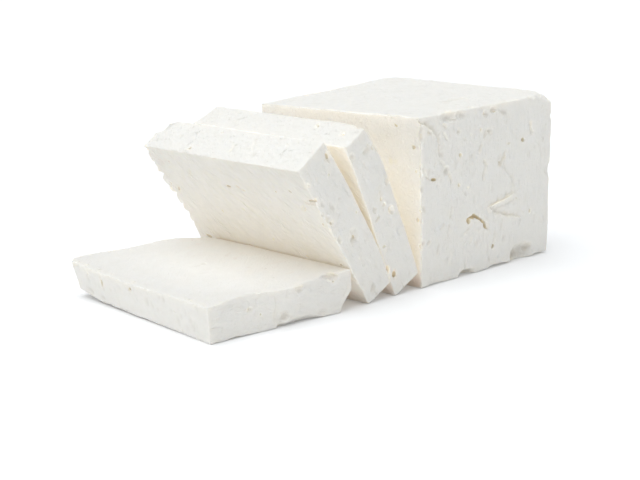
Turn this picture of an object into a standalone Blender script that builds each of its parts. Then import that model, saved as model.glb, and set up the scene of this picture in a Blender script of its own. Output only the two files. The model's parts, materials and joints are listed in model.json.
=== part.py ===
# Feta, part sliced: a block of white brined cheese and the slices cut from its left end.
# The slices have tipped over like dominoes. The last lies flat, the next leans on its edge,
# the one after that leans on its neighbour, and its heel stands against the block.
# Row frame: +X runs along the row from the flat slice to the block, +Y runs across it away
# from the near side, +Z is up, and the origin is below the middle of the row, on the floor.

import math
import random
from collections import namedtuple

import bmesh
import bpy
from mathutils import Euler, Matrix, Vector, noise
from mathutils.bvhtree import BVHTree

MM = 0.001

# Driving dimensions: the loaf's section, and what each piece takes of its length
LOAF_WIDTH = 110 * MM
LOAF_HEIGHT = 80 * MM
BLOCK_LENGTH = 100 * MM
INNER_THICKNESS = 18 * MM
OUTER_THICKNESS = 16.4 * MM
FLAT_THICKNESS = 19.3 * MM
FLAT_LENGTH = 79 * MM
FLAT_WIDTH = 112 * MM

# How far the slices have tipped, and how the flat one has turned and slid
INNER_LEAN = math.radians(22.6)
OUTER_LEAN = math.radians(31.0)
FLAT_TURN = math.radians(-4.5)
FLAT_ACROSS = 5.3 * MM
CLEARANCE = 0.3 * MM

# Grid of each piece: close to an edge, where it is worn, and over the rest of a face
RIM = (1.2 * MM, 3.4 * MM)
CELL = 8 * MM

# Wear and unevenness
CUT_EDGE_RADIUS = 0.4 * MM
MOULD_EDGE_RADIUS = 0.9 * MM
RADIUS_CHANGE = 0.45
RADIUS_WAVE = 14 * MM
RIPPLE = 0.35 * MM
RIPPLE_WAVE = 32 * MM
CUT_RIPPLE_SHARE = 0.35
FOOT_LIFT = 2.4 * MM
FOOT_WAVE = 17 * MM
FOOT_REACH = 9 * MM
FOOT_BIAS = 0.12
BREAK_SHARE = 0.9
BREAK_ROUGHNESS = 0.15
SHARP_ANGLE = math.radians(38)

# Pits: how rough their cutters are, and how far the links of a crack overlap
CUTTER_ROUGHNESS = 0.22
CUTTER_GRAIN = 1.7
CRACK_OVERLAP = 1.35

# Finish
CHEESE_COLOUR = (0.90, 0.885, 0.83, 1.0)
CHEESE_ROUGHNESS = 0.62

# A pit lies on a face of a piece: x and y are its place there, turn is its long axis's
# angle from x, in degrees, and depth is how far it goes in.
Pit = namedtuple("Pit", "face x y length width depth turn")

# Each face's own x and y, as axes of the piece, and the side of the piece it is on
FACES = {
    "near": (0, 2, -1),
    "far": (0, 2, 1),
    "cut": (1, 2, -1),
    "end": (1, 2, 1),
    "top": (0, 1, 1),
}


def clear_scene():
    """Empties the scene of objects."""
    for old in list(bpy.data.objects):
        bpy.data.objects.remove(old, do_unlink=True)


def new_collection(name, hidden=False):
    """A collection in the scene. A hidden one holds cutters."""
    made = bpy.data.collections.new(name)
    bpy.context.scene.collection.children.link(made)
    made.hide_render = hidden
    return made


def cheese_material(name):
    """The white of the cheese: bright, faintly warm and matt."""
    material = bpy.data.materials.new(name)
    material.use_nodes = True
    shader = material.node_tree.nodes["Principled BSDF"]
    shader.inputs["Base Color"].default_value = CHEESE_COLOUR
    shader.inputs["Roughness"].default_value = CHEESE_ROUGHNESS
    shader.inputs["Metallic"].default_value = 0.0
    material.diffuse_color = CHEESE_COLOUR
    return material


def smooth_step(value, low, high):
    """0 below low, 1 above high, and a smooth rise between."""
    share = min(1.0, max(0.0, (value - low) / (high - low)))
    return share * share * (3 - 2 * share)


def stations(length):
    """Where the grid cuts one side: near both ends, then evenly between."""
    middle = length - 2 * RIM[1]
    count = max(1, round(middle / CELL))
    even = [RIM[1] + middle * i / count for i in range(count + 1)]
    return [RIM[0], *even, length - RIM[0]]


def gridded_box(size):
    """A box from the origin to size, cut into the grid that carries its relief."""
    bm = bmesh.new()
    bmesh.ops.create_cube(bm, size=1.0)
    bmesh.ops.translate(bm, verts=bm.verts, vec=(0.5, 0.5, 0.5))
    bmesh.ops.scale(bm, verts=bm.verts, vec=size)
    for axis in range(3):
        normal = Vector((axis == 0, axis == 1, axis == 2))
        for place in stations(size[axis]):
            everything = bm.verts[:] + bm.edges[:] + bm.faces[:]
            bmesh.ops.bisect_plane(bm, geom=everything, plane_co=normal * place, plane_no=normal)
    return bm


def worn_edge(point, size, seed):
    """Rounds the box's edges. Moulded edges are rounder than cut ones, and both vary."""
    on_cut = min(point.x, size[0] - point.x) < RIM[1]
    radius = CUT_EDGE_RADIUS if on_cut else MOULD_EDGE_RADIUS
    radius *= 1 + RADIUS_CHANGE * noise.noise(point / RADIUS_WAVE + seed)
    core = Vector(max(radius, min(side - radius, at)) for at, side in zip(point, size))
    outward = point - core
    return core + outward * min(1.0, radius / max(outward.length, 1e-9))


def rippled(point, normal, seed):
    """Lays the slow unevenness of curd on a face. Cut faces are flatter, the base is flat."""
    share = CUT_RIPPLE_SHARE if abs(normal.x) > 0.9 else 1.0
    share *= 1 - max(0.0, -normal.z)
    return point + normal * RIPPLE * share * noise.noise(point / RIPPLE_WAVE + seed)


def ragged_foot(point, size, seed):
    """Lifts the lower rim on the near and far sides, where the curd ended unevenly."""
    inset = min(point.y, size[1] - point.y)
    height = 1 - smooth_step(point.z, 0, RIM[1] * 2)
    rim = 1 - smooth_step(inset, 0, FOOT_REACH)
    wave = FOOT_BIAS + noise.noise(Vector((point.x / FOOT_WAVE, point.y / LOAF_WIDTH, seed.z)))
    return point + Vector((0, 0, FOOT_LIFT * max(0.0, wave) * rim * height))


def shifted_corners(point, size, shifts):
    """Moves the piece's corners by hand-set amounts and everything else in proportion."""
    share = [at / side for at, side in zip(point, size)]
    moved = point.copy()
    for corner, shift in shifts.items():
        weight = math.prod(s if high else 1 - s for s, high in zip(share, corner))
        moved += Vector(shift) * weight
    return moved


def broken_corner(point, corner, reach, seed):
    """Flattens a corner to the rough plane that meets its three edges at reach.
    A break that runs down the whole upright edge moves points level, and so keeps the base flat.
    """
    normal = Vector((1 / reach[0], 1 / reach[1], 1 / reach[2]))
    rough = 1 + BREAK_ROUGHNESS * noise.noise(point / RADIUS_WAVE + seed)
    beyond = normal.dot(point - corner) + rough
    way = normal.copy()
    if reach[2] > corner.z:
        way.z = 0
    return point - way * (BREAK_SHARE * max(0.0, beyond) / way.dot(normal))


def pushed(point, centre, reach, push):
    """Presses the surface round a centre: fully there, and not at all at the reach."""
    share = Vector(gap / limit for gap, limit in zip(point - Vector(centre), reach)).length
    return point + Vector(push) * (1 - smooth_step(share, 0, 1))


def belly(point, size, swell, low, high, top_share):
    """Thickens a slice towards its back face: fully between two heights, less at the top."""
    back = point.x / size[0]
    rise = smooth_step(point.z, 0, low)
    fall = (1 - top_share) * max(0.0, point.z - high) / (size[2] - high)
    return point + Vector((swell * back * (rise - fall), 0, 0))


def flared(point, size, flare, low):
    """Leans a slice's left face outwards above a height."""
    front = 1 - point.x / size[0]
    return point - Vector((flare * front * smooth_step(point.z, low, size[2]), 0, 0))


def cheese_piece(name, size, collection, shape=None, shifts=None):
    """One piece of cheese: a gridded box, shaped, worn and uneven, with its own material."""
    seed = Vector((len(name), sum(map(ord, name)) % 17, size[0] * 100))
    bm = gridded_box(size)
    bm.normal_update()
    moves = []
    for vert in bm.verts:
        point = worn_edge(vert.co.copy(), size, seed)
        point = ragged_foot(point, size, seed)
        point = shape(point, seed) if shape else point
        point = shifted_corners(point, size, shifts or {})
        moves.append(rippled(point, vert.normal.copy(), seed))
    for vert, point in zip(bm.verts, moves):
        vert.co = point
    bmesh.ops.triangulate(bm, faces=bm.faces)
    mesh = bpy.data.meshes.new(name)
    bm.to_mesh(mesh)
    bm.free()
    mesh.materials.append(cheese_material(name + "_white"))
    mesh.shade_smooth()
    mesh.set_sharp_from_angle(angle=SHARP_ANGLE)
    piece = bpy.data.objects.new(name, mesh)
    collection.objects.link(piece)
    return piece


def crack(face, points, width, depth):
    """A crack along a line of points, as pits that overlap end to end."""
    pits = []
    for (x0, y0), (x1, y1) in zip(points, points[1:]):
        long = math.hypot(x1 - x0, y1 - y0)
        turn = math.degrees(math.atan2(y1 - y0, x1 - x0))
        centre = ((x0 + x1) / 2, (y0 + y1) / 2)
        pits.append(Pit(face, *centre, long * CRACK_OVERLAP, width, depth, turn))
    return pits


def stray_pits(size, faces, count, seed):
    """Small pits strewn over the given faces, the same ones each time."""
    draw = random.Random(seed)
    pits = []
    for index in range(count):
        face = faces[index % len(faces)]
        across, up, _ = FACES[face]
        x = draw.uniform(0.15, 0.85) * size[across]
        y = draw.uniform(0.25, 0.80) * size[up]
        length = draw.uniform(2.0, 3.6) * MM
        narrow = draw.uniform(0.5, 0.9)
        turn = draw.uniform(0, 180)
        pits.append(Pit(face, x, y, length, length * narrow, length * 0.35, turn))
    return pits


def pit_place(pit, size, tree):
    """Where a pit opens: its place on the face, followed inwards to the uneven surface."""
    across, up, side = FACES[pit.face]
    through = 3 - across - up
    outside = Vector((0, 0, 0))
    outside[across], outside[up] = pit.x, pit.y
    outside[through] = size[through] / 2 + side * size[through]
    inward = Vector((0, 0, 0))
    inward[through] = -side
    hit, _, _, _ = tree.ray_cast(outside, inward)
    return hit


def pit_cutter(pit, place, name, collection):
    """A small rough ellipsoid, sunk half into its face, that cuts one pit."""
    across, up, _ = FACES[pit.face]
    turn = math.radians(pit.turn)
    long_axis, short_axis = Vector((0, 0, 0)), Vector((0, 0, 0))
    long_axis[across], long_axis[up] = math.cos(turn), math.sin(turn)
    short_axis[across], short_axis[up] = -math.sin(turn), math.cos(turn)
    axes = Matrix((long_axis, short_axis, long_axis.cross(short_axis))).transposed()
    bm = bmesh.new()
    bmesh.ops.create_icosphere(bm, subdivisions=1, radius=1.0)
    for vert in bm.verts:
        vert.co *= 1 + CUTTER_ROUGHNESS * noise.noise(vert.co * CUTTER_GRAIN + place / MM)
    bmesh.ops.scale(bm, verts=bm.verts, vec=(pit.length / 2, pit.width / 2, pit.depth))
    mesh = bpy.data.meshes.new(name)
    bm.to_mesh(mesh)
    bm.free()
    cutter = bpy.data.objects.new(name, mesh)
    cutter.location = place
    cutter.rotation_euler = axes.to_euler()
    cutter.hide_render = True
    cutter.display_type = "WIRE"
    collection.objects.link(cutter)
    return cutter


def carve(piece, size, pits, cutters):
    """Cuts every pit into the piece with one Boolean."""
    own = bpy.data.collections.new(piece.name + "_cutters")
    cutters.children.link(own)
    tree = world_tree(piece)
    for index, pit in enumerate(pits):
        place = pit_place(pit, size, tree)
        cutter = pit_cutter(pit, place, f"{piece.name}_cutter_{index:02d}", own)
        cutter.parent = piece
    boolean = piece.modifiers.new("pits", "BOOLEAN")
    boolean.operation = "DIFFERENCE"
    boolean.operand_type = "COLLECTION"
    boolean.collection = own
    boolean.solver = "EXACT"


def make_block(collection, cutters):
    """The rest of the loaf: its near side is crazed and pitted, one top corner is broken."""
    size = (BLOCK_LENGTH, LOAF_WIDTH, LOAF_HEIGHT)
    far_top = Vector((size[0], 0, size[2]))
    back_top = Vector((size[0], size[1], size[2]))

    def shape(point, seed):
        point = broken_corner(point, far_top, (19 * MM, -9 * MM, 5.5 * MM), seed)
        return broken_corner(point, back_top, (12 * MM, 9 * MM, 90 * MM), seed)

    shifts = {
        (0, 0, 1): (0, 0, 1.4 * MM),
        (0, 1, 1): (0, 0, 0.2 * MM),
        (1, 0, 0): (-0.6 * MM, 0, 0),
        (1, 0, 1): (2.2 * MM, 0, 3.4 * MM),
        (1, 1, 1): (1.2 * MM, 0, 5.6 * MM),
    }
    block = cheese_piece("feta_block", size, collection, shape, shifts)
    rift = [(34, 27.5), (39.5, 29.6), (43.5, 27), (48, 25), (50.6, 20.5)]
    pits = crack("near", [(x * MM, y * MM) for x, y in rift], 1.2 * MM, 1.6 * MM)
    pits += [
        Pit("near", 62 * MM, 31.5 * MM, 20 * MM, 3 * MM, 0.8 * MM, 8),
        Pit("near", 79 * MM, 3 * MM, 17 * MM, 11 * MM, 1.3 * MM, 0),
        Pit("near", 22 * MM, 79 * MM, 14 * MM, 4 * MM, 1.1 * MM, 3),
        Pit("near", 56 * MM, 79.5 * MM, 10 * MM, 3.4 * MM, 1.0 * MM, -6),
        Pit("near", 20 * MM, 54.5 * MM, 3.2 * MM, 2.6 * MM, 0.9 * MM, 40),
        Pit("near", 9.5 * MM, 51.2 * MM, 3.6 * MM, 1.4 * MM, 1.2 * MM, -4),
        Pit("near", 28.7 * MM, 60.5 * MM, 2 * MM, 1.6 * MM, 1.0 * MM, 0),
        Pit("near", 77.6 * MM, 62 * MM, 2.2 * MM, 1.9 * MM, 1.2 * MM, 20),
        Pit("near", 53.8 * MM, 11.2 * MM, 2.4 * MM, 1.8 * MM, 1.2 * MM, 60),
        Pit("cut", 4.6 * MM, 67.3 * MM, 2.2 * MM, 1.6 * MM, 1.0 * MM, 0),
        Pit("top", 58 * MM, 26.5 * MM, 20 * MM, 3 * MM, 0.7 * MM, -8),
    ]
    pits += stray_pits(size, ("far", "end", "end", "far", "cut"), 9, seed=11)
    carve(block, size, pits, cutters)
    return block, size


def make_inner_slice(collection, cutters):
    """The slice next to the block, tipped a little, its upper back corner worn away."""
    size = (INNER_THICKNESS, LOAF_WIDTH, LOAF_HEIGHT)
    back_top = Vector((size[0], 0, size[2]))

    front_top = Vector((0, 0, size[2]))

    def shape(point, seed):
        point = broken_corner(point, back_top, (5 * MM, -24 * MM, 15 * MM), seed)
        point = pushed(point, back_top, (16 * MM, 36 * MM, 22 * MM), (0, 0, 2.8 * MM))
        return pushed(point, front_top, (10 * MM, 40 * MM, 16 * MM), (-1.3 * MM, 0, 0.4 * MM))

    shifts = {
        (0, 1, 1): (3 * MM, 0, 0),
        (1, 1, 1): (3 * MM, 0, 0),
        (1, 0, 0): (0.6 * MM, 0, 0),
    }
    piece = cheese_piece("feta_slice_inner", size, collection, shape, shifts)
    pits = [
        Pit("near", 3.7 * MM, 9.7 * MM, 3.8 * MM, 1.9 * MM, 1.4 * MM, 72),
        Pit("near", 11.2 * MM, 47.4 * MM, 3.6 * MM, 2.4 * MM, 0.7 * MM, 60),
        Pit("near", 13.8 * MM, 38.8 * MM, 3.2 * MM, 2.4 * MM, 0.8 * MM, 80),
        Pit("near", 11.4 * MM, 72 * MM, 4 * MM, 2.4 * MM, 0.7 * MM, 20),
        Pit("top", 8.3 * MM, 9.8 * MM, 3.2 * MM, 1.4 * MM, 0.7 * MM, 60),
        Pit("top", 14 * MM, 31 * MM, 4.4 * MM, 1.4 * MM, 0.7 * MM, 35),
    ]
    pits += stray_pits(size, ("far", "end", "cut"), 6, seed=23)
    carve(piece, size, pits, cutters)
    return piece, size


def make_outer_slice(collection, cutters):
    """The slice that leans on the flat one: swollen low on its back, split along its top."""
    size = (OUTER_THICKNESS, LOAF_WIDTH, LOAF_HEIGHT)

    def shape(point, seed):
        point = belly(point, size, 2.9 * MM, 19 * MM, 56 * MM, 0.42)
        return flared(point, size, 1.4 * MM, 24 * MM)

    shifts = {
        (0, 0, 1): (0, 0, -0.9 * MM),
        (1, 0, 1): (0, 0, 0.2 * MM),
        (0, 1, 1): (1.5 * MM, 0, -1.2 * MM),
        (1, 1, 1): (1.5 * MM, 0, 0.2 * MM),
        (1, 0, 0): (0, 0, -2.8 * MM),
        (1, 1, 0): (0, 0, -2.8 * MM),
    }
    piece = cheese_piece("feta_slice_outer", size, collection, shape, shifts)
    split = [(3.8, 50.2), (7, 50.6), (9.8, 50.8)]
    pits = crack("top", [(x * MM, y * MM) for x, y in split], 1.0 * MM, 0.7 * MM)
    pits += [
        Pit("top", 12 * MM, 40 * MM, 10 * MM, 1.0 * MM, 0.7 * MM, 30),
        Pit("top", 3 * MM, 77 * MM, 2.2 * MM, 1.8 * MM, 0.8 * MM, 0),
        Pit("cut", 2 * MM, 61.8 * MM, 7 * MM, 2.4 * MM, 1.2 * MM, 168),
        Pit("cut", 58.2 * MM, 61.2 * MM, 3.4 * MM, 1.6 * MM, 0.9 * MM, 0),
        Pit("near", 10.8 * MM, 32.6 * MM, 6.5 * MM, 4 * MM, 1.0 * MM, 70),
        Pit("near", 14 * MM, 73.4 * MM, 3 * MM, 1.6 * MM, 0.7 * MM, 80),
    ]
    pits += stray_pits(size, ("far", "cut"), 5, seed=37)
    carve(piece, size, pits, cutters)
    return piece, size


def make_flat_slice(collection, cutters):
    """The slice that fell flat. It is modelled lying: its thickness is its height.
    It is thinner at its left end, the top of the loaf, and shorter along its far side.
    """
    size = (FLAT_LENGTH, FLAT_WIDTH, FLAT_THICKNESS)
    back_right = Vector((size[0], size[1], size[2]))
    back_left = Vector((0, size[1], size[2]))
    dip, bulge = (20 * MM, 0, size[2]), (42 * MM, 0, size[2])
    right_foot, right_swell = (size[0], 0, 0), (size[0], 0, 11 * MM)
    left_foot, left_crown = (0, size[1], 0), (8 * MM, size[1], size[2])
    left_sag = (0, 58 * MM, size[2])

    def shape(point, seed):
        point = broken_corner(point, back_right, (16 * MM, 18 * MM, 90 * MM), seed)
        point = broken_corner(point, back_left, (-5 * MM, 4 * MM, 40 * MM), seed)
        point = pushed(point, dip, (20 * MM, 24 * MM, 22 * MM), (0, 2.2 * MM, 0.7 * MM))
        point = pushed(point, bulge, (13 * MM, 14 * MM, 24 * MM), (0, -1.6 * MM, -0.8 * MM))
        point = pushed(point, right_foot, (18 * MM, 40 * MM, 11 * MM), (-5 * MM, 0, 0))
        point = pushed(point, right_swell, (12 * MM, 30 * MM, 8 * MM), (1.2 * MM, 0, 0))
        point = pushed(point, left_foot, (30 * MM, 26 * MM, 14 * MM), (0, -2.5 * MM, 3 * MM))
        point = pushed(point, left_crown, (34 * MM, 22 * MM, 20 * MM), (0, 0, 1.6 * MM))
        return pushed(point, left_sag, (14 * MM, 46 * MM, 14 * MM), (0, 0, -1.1 * MM))

    shifts = {
        (0, 0, 0): (2.5 * MM, 1.5 * MM, 0),
        (0, 0, 1): (0, 0, -2.6 * MM),
        (0, 1, 0): (3.0 * MM, 0, 1.2 * MM),
        (0, 1, 1): (-0.5 * MM, 0, -2.2 * MM),
        (1, 0, 0): (-1.6 * MM, 0, 0),
        (1, 1, 0): (-11.6 * MM, 0, 0),
        (1, 1, 1): (-8.6 * MM, 0, 0.6 * MM),
    }
    piece = cheese_piece("feta_slice_flat", size, collection, shape, shifts)
    pits = [
        Pit("near", 66.4 * MM, 16.8 * MM, 8.5 * MM, 3 * MM, 1.2 * MM, -22),
        Pit("near", 48.7 * MM, 15 * MM, 4 * MM, 2 * MM, 0.7 * MM, 0),
        Pit("near", 40.5 * MM, 4.6 * MM, 6 * MM, 4 * MM, 0.8 * MM, 20),
        Pit("near", 23.5 * MM, 11.2 * MM, 2 * MM, 1.5 * MM, 0.8 * MM, 0),
        Pit("cut", 85.4 * MM, 11 * MM, 6 * MM, 1.4 * MM, 0.9 * MM, 88),
        Pit("cut", 60.3 * MM, 13 * MM, 2 * MM, 1.6 * MM, 0.9 * MM, 0),
    ]
    pits += stray_pits(size, ("far", "top", "end"), 5, seed=43)
    carve(piece, size, pits, cutters)
    return piece, size


def world_points(piece):
    """The piece's own mesh in the row frame, before its pits are cut."""
    return [piece.matrix_world @ vert.co for vert in piece.data.vertices]


def world_tree(piece):
    """A search tree over the same mesh."""
    faces = [tuple(face.vertices) for face in piece.data.polygons]
    return BVHTree.FromPolygons(world_points(piece), faces)


def set_on_floor(piece, lean=0.0, turn=0.0, across=0.0):
    """Tips and turns a piece, then lowers it until its lowest point is on the floor."""
    piece.rotation_euler = Euler((0, -lean, turn))
    piece.location = (-3 * BLOCK_LENGTH, across, 0)
    bpy.context.view_layer.update()
    piece.location.z -= min(point.z for point in world_points(piece))
    bpy.context.view_layer.update()


def slide_against(mover, neighbour):
    """Moves a piece along +X until it all but touches its neighbour."""
    along = Vector((1, 0, 0))
    rooms = []
    for points, tree, way in (
        (world_points(mover), world_tree(neighbour), along),
        (world_points(neighbour), world_tree(mover), -along),
    ):
        for point in points:
            hit, _, _, distance = tree.ray_cast(point, way)
            if hit is not None:
                rooms.append(distance)
    mover.location.x += min(rooms) - CLEARANCE
    bpy.context.view_layer.update()


def centre_row(pieces):
    """Puts the origin below the middle of the row's box."""
    points = [point for piece in pieces for point in world_points(piece)]
    for axis in (0, 1):
        low = min(point[axis] for point in points)
        high = max(point[axis] for point in points)
        for piece in pieces:
            piece.location[axis] -= (low + high) / 2
    bpy.context.view_layer.update()


def main():
    clear_scene()
    cheese = new_collection("feta")
    cutters = new_collection("feta_cutters", hidden=True)
    block, _ = make_block(cheese, cutters)
    inner, _ = make_inner_slice(cheese, cutters)
    outer, _ = make_outer_slice(cheese, cutters)
    flat, _ = make_flat_slice(cheese, cutters)
    bpy.context.view_layer.update()
    set_on_floor(inner, lean=INNER_LEAN, across=0.8 * MM)
    set_on_floor(outer, lean=OUTER_LEAN, across=0.4 * MM)
    set_on_floor(flat, turn=FLAT_TURN, across=FLAT_ACROSS)
    slide_against(inner, block)
    slide_against(outer, inner)
    slide_against(flat, outer)
    centre_row([block, inner, outer, flat])


main()
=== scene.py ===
# %% [markdown]
# # Feta, part sliced
# Feta is curd that was ladled into a mould, drained, cut and kept in brine. Its outside keeps
# every place where two curds didn't quite knit: shallow scars, chipped edges and a few deep
# pits. Its cut faces are flatter, with a fine grain that the knife has dragged into strokes.
# This lesson dresses four plain solids, the block and its three fallen slices, to look like
# that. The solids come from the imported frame, and nothing here changes their size or place.

# %% Load the frame
import json
import math
import random
from collections import namedtuple

import bpy
import numpy as np
from mathutils import Matrix, Vector, noise
from mathutils.bvhtree import BVHTree

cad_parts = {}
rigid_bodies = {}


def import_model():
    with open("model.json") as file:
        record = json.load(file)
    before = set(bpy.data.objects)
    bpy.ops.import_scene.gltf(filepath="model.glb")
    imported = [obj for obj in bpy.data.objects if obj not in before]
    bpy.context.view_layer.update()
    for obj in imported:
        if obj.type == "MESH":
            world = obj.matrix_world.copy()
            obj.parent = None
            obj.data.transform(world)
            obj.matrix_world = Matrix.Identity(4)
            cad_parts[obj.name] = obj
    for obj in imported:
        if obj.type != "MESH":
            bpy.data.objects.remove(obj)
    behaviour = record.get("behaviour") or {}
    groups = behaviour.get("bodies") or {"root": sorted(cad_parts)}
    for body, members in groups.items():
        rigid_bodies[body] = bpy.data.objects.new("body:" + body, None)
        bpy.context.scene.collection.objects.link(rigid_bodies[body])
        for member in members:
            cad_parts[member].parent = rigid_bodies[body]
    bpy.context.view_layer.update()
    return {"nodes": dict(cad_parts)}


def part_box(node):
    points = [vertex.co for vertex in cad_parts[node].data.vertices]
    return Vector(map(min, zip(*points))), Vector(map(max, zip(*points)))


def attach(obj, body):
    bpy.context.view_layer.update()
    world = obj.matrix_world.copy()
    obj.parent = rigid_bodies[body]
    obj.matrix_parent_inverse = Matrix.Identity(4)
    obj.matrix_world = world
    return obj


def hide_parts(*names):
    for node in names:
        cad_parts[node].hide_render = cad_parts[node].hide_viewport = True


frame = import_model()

MM = 0.001


# %% Work as by hand
def select_only(thing):
    """Selects this object alone, and makes it the active one."""
    bpy.ops.object.select_all(action="DESELECT")
    thing.select_set(True)
    bpy.context.view_layer.objects.active = thing


def apply_modifier(thing, kind, **settings):
    """Adds a modifier with its settings, and applies it."""
    select_only(thing)
    bpy.ops.object.modifier_add(type=kind)
    modifier = thing.modifiers[-1]
    for name, value in settings.items():
        setattr(modifier, name, value)
    bpy.ops.object.modifier_apply(modifier=modifier.name)


bpy.ops.object.select_all(action="DESELECT")

# %% [markdown]
# ## Each piece has its own axes
# A slice that has tipped over still has a thickness, a width and a height of its own, and
# everything on it is easiest to place along those. So each piece gets three axes: x through
# its thickness, y across the loaf from the near side to the far one, z up its height. The flat
# slice is the exception: it lies, so its thickness is its z. The tilt and the turn below are
# the ones that the solids were set down with, and the rest is measured on the solids.

# %% Measure the pieces along their own axes
Piece = namedtuple("Piece", "node axes corner size cut_axis")


def measure(node, lean=0.0, turn=0.0, cut_axis=0, inset=(0, 0, 0)):
    """A piece's own axes, the corner its marks are counted from, and its size along them."""
    tipped = Matrix.Rotation(math.radians(-lean), 3, "Y")
    axes = Matrix.Rotation(math.radians(turn), 3, "Z") @ tipped
    own = [axes.transposed() @ vert.co for vert in frame["nodes"][node].data.vertices]
    low = Vector(min(point[i] for point in own) for i in range(3))
    high = Vector(max(point[i] for point in own) for i in range(3))
    low += Vector(inset) * MM
    print(node, "is, in mm:", [round(side / MM, 1) for side in high - low])
    return Piece(node, axes, axes @ low, high - low, cut_axis)


BLOCK = measure("feta_block")
INNER = measure("feta_slice_inner", lean=22.6, inset=(1.2, 0, 0))
OUTER = measure("feta_slice_outer", lean=31.0, inset=(1.3, 0, 2.8))
FLAT = measure("feta_slice_flat", turn=-4.5, cut_axis=2, inset=(0, 1.6, 0))

# %% [markdown]
# ## The camera
# The photograph was taken from a little above the cheese and from its near left corner, with
# a long lens. The block's near left bottom corner is the easiest point to find again, so the
# point that the camera looks at is counted from there.

# %% Set up the camera
block_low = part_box("feta_block")[0]
LOOKED_AT = Vector((block_low.x, block_low.y, 0)) + Vector((-43.0, 24.0, 27.9)) * MM
CAMERA_AZIMUTH = math.radians(-44.16)
CAMERA_ELEVATION = math.radians(12.83)
CAMERA_ROLL = math.radians(-1.26)
CAMERA_DISTANCE = 609.8 * MM
PHOTO_WIDTH = 640
FOCAL_PIXELS = 1328.4
SENSOR_WIDTH = 36

outward = Vector((
    math.sin(CAMERA_AZIMUTH) * math.cos(CAMERA_ELEVATION),
    -math.cos(CAMERA_AZIMUTH) * math.cos(CAMERA_ELEVATION),
    math.sin(CAMERA_ELEVATION),
))
bpy.ops.object.camera_add(location=LOOKED_AT + outward * CAMERA_DISTANCE)
camera = bpy.context.object
camera.rotation_mode = "QUATERNION"
level_view = (-outward).to_track_quat("-Z", "Y")
camera.rotation_quaternion = level_view @ Matrix.Rotation(CAMERA_ROLL, 3, "Z").to_quaternion()
camera.data.sensor_width = SENSOR_WIDTH
camera.data.lens = SENSOR_WIDTH * FOCAL_PIXELS / PHOTO_WIDTH
camera.data.clip_start = 10 * MM
bpy.context.scene.camera = camera

# %% [markdown]
# ## Floor and light
# The cheese stands on a white floor that runs out of the picture, in light so soft that its
# shadow is barely there. A pale sky lights everything, a wide sun almost overhead makes the
# tops the brightest faces, and the white floor sends light back up to the sides. The light is
# slightly cool and the cheese slightly warm. On an open face the two cancel out, but light that
# has bounced between two pieces comes out yellow, as it does in the photograph's gaps.


# %% Lay the floor
def set_inputs(node, values):
    """Gives a node's inputs their values, by name."""
    for name, value in values.items():
        node.inputs[name].default_value = value


FLOOR_SIZE = 16

bpy.ops.mesh.primitive_plane_add(size=FLOOR_SIZE)
floor = bpy.context.object
floor.name = "white_floor"
floor_paint = bpy.data.materials.new("white_sweep")
floor_paint.use_nodes = True
set_inputs(floor_paint.node_tree.nodes["Principled BSDF"], {
    "Base Color": (0.95, 0.95, 0.95, 1),
    "Roughness": 0.9,
    "Specular IOR Level": 0.1,
    "Emission Color": (1, 1, 1, 1),
    "Emission Strength": 0.08,
})
floor.data.materials.append(floor_paint)

# %% Light the sky and hang the sun
SKY_COLOUR = (0.96, 0.98, 1.0, 1)
SKY_STRENGTH = 0.405
SUN_COLOUR = (0.95, 0.975, 1.0)
SUN_STRENGTH = 2.23
SUN_WIDTH = math.radians(70)
SUN_FROM = Vector((-0.17, 0.1, 0.97)).normalized()

sky = bpy.data.worlds.new("pale_sky")
sky.use_nodes = True
set_inputs(sky.node_tree.nodes["Background"], {"Color": SKY_COLOUR, "Strength": SKY_STRENGTH})
bpy.context.scene.world = sky

bpy.ops.object.light_add(type="SUN", location=SUN_FROM)
sun = bpy.context.object
sun.name = "soft_sun"
sun.rotation_mode = "QUATERNION"
sun.rotation_quaternion = (-SUN_FROM).to_track_quat("-Z", "Y")
sun.data.angle = SUN_WIDTH
sun.data.energy = SUN_STRENGTH
sun.data.color = SUN_COLOUR
bpy.context.scene.view_settings.view_transform = "Standard"

# %% [markdown]
# ## Shared effects, as node groups
# Brined skin and cut curd are both grained, marked along a direction and pitted, and both get a
# painted warm shade where they are hollow. Each effect is one group of nodes, made once and placed
# in every material with its own values. The patterns read a place that is stored on each point of a
# piece, so they tip over with the slices. Heights are in millimetres. A fifth group paints in, as a
# glow, the light that sinks through a slice, or bounces between two, and shines out again where
# they face each other: it makes the gaps pale yellow, and amber where two pieces meet.

# %% Helpers for nodes
FLOAT, VECTOR, COLOUR = "NodeSocketFloat", "NodeSocketVector", "NodeSocketColor"
ORIGIN = (0, 0, 0)


def new_group(name, inputs, gives, kind=FLOAT):
    """A node group, the sockets of what comes in, and the socket of what it gives."""
    group = bpy.data.node_groups.new(name, "ShaderNodeTree")
    for label, value in inputs.items():
        carrier = FLOAT if isinstance(value, float) else VECTOR if len(value) == 3 else COLOUR
        socket = group.interface.new_socket(label, in_out="INPUT", socket_type=carrier)
        socket.default_value = value
    group.interface.new_socket(gives, in_out="OUTPUT", socket_type=kind)
    ins, outs = group.nodes.new("NodeGroupInput"), group.nodes.new("NodeGroupOutput")
    return group, ins.outputs, outs.inputs[gives]


def add_node(tree, kind, inputs, **settings):
    """A node with its settings, and inputs that are values or other nodes' outputs."""
    node = tree.nodes.new(kind)
    for name, value in settings.items():
        setattr(node, name, value)
    for key, value in inputs.items():
        if isinstance(value, bpy.types.NodeSocket):
            tree.links.new(value, node.inputs[key])
        else:
            node.inputs[key].default_value = value
    return node


def add_group(tree, group, inputs):
    """What a group gives for these inputs."""
    return add_node(tree, "ShaderNodeGroup", inputs, node_tree=group).outputs[0]


def add_math(tree, operation, first, second):
    """The result of one sum on two values or outputs."""
    inputs = {0: first, 1: second}
    return add_node(tree, "ShaderNodeMath", inputs, operation=operation).outputs[0]


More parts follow.
